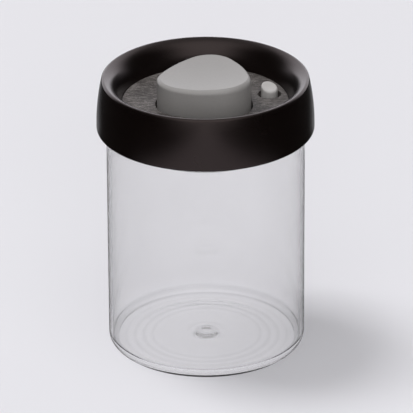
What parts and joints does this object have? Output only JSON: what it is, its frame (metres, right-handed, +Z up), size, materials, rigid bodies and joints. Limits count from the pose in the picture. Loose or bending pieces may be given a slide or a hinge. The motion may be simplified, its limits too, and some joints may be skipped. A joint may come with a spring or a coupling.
{
  "type": "vacuum seal canister",
  "caption": "Round glass food canister with a flared black lid that carries a three-cornered pump button and a small vacuum release button.",
  "frame": {"origin": "centre of the face that the jar stands on", "axes": "+Z up the jar's axis; -Y towards the picture's camera, +X to its right"},
  "size_m": [0.1098, 0.1098, 0.146],
  "materials": {
    "glass": "clear blown glass",
    "black_plastic": "satin black moulding",
    "speckled_plate": "fine grained and speckled",
    "grey_plastic": "satin warm grey moulding",
    "light_plastic": "satin light grey moulding",
    "natural_plastic": "natural translucent moulding",
    "silicone": "translucent silicone",
    "steel": "plain bright steel"
  },
  "bodies": {
    "jar": {"glass_jar": "glass"},
    "lid": {"lid_ring": "black_plastic", "top_plate": "speckled_plate", "lid_base": "black_plastic", "jar_gasket": "silicone", "lid_screws": "steel", "pump_cylinder": "natural_plastic", "cylinder_washer": "silicone", "cylinder_cap": "natural_plastic", "inlet_guard": "natural_plastic", "inlet_valve": "silicone", "pump_spring": "steel", "release_spring": "steel"},
    "pump": {"pump_button": "grey_plastic", "piston": "natural_plastic", "piston_cup": "silicone", "pump_screw": "steel"},
    "release": {"release_button": "light_plastic", "release_seal": "silicone"}
  },
  "joints": [
    {"name": "lid_lift", "type": "slide", "parent": "jar", "child": "lid", "axis": [0, 0, 1], "range_m": [0, 0.1]},
    {"name": "pump_press", "type": "slide", "parent": "lid", "child": "pump", "axis": [0, 0, -1], "range_m": [0, 0.011], "stiffness_N_per_m": 600, "springref_m": -0.007, "deforming": ["pump_spring"]},
    {"name": "release_press", "type": "slide", "parent": "lid", "child": "release", "axis": [0, 0, -1], "range_m": [0, 0.0022], "stiffness_N_per_m": 800, "springref_m": -0.0015, "deforming": ["release_spring"]}
  ]
}
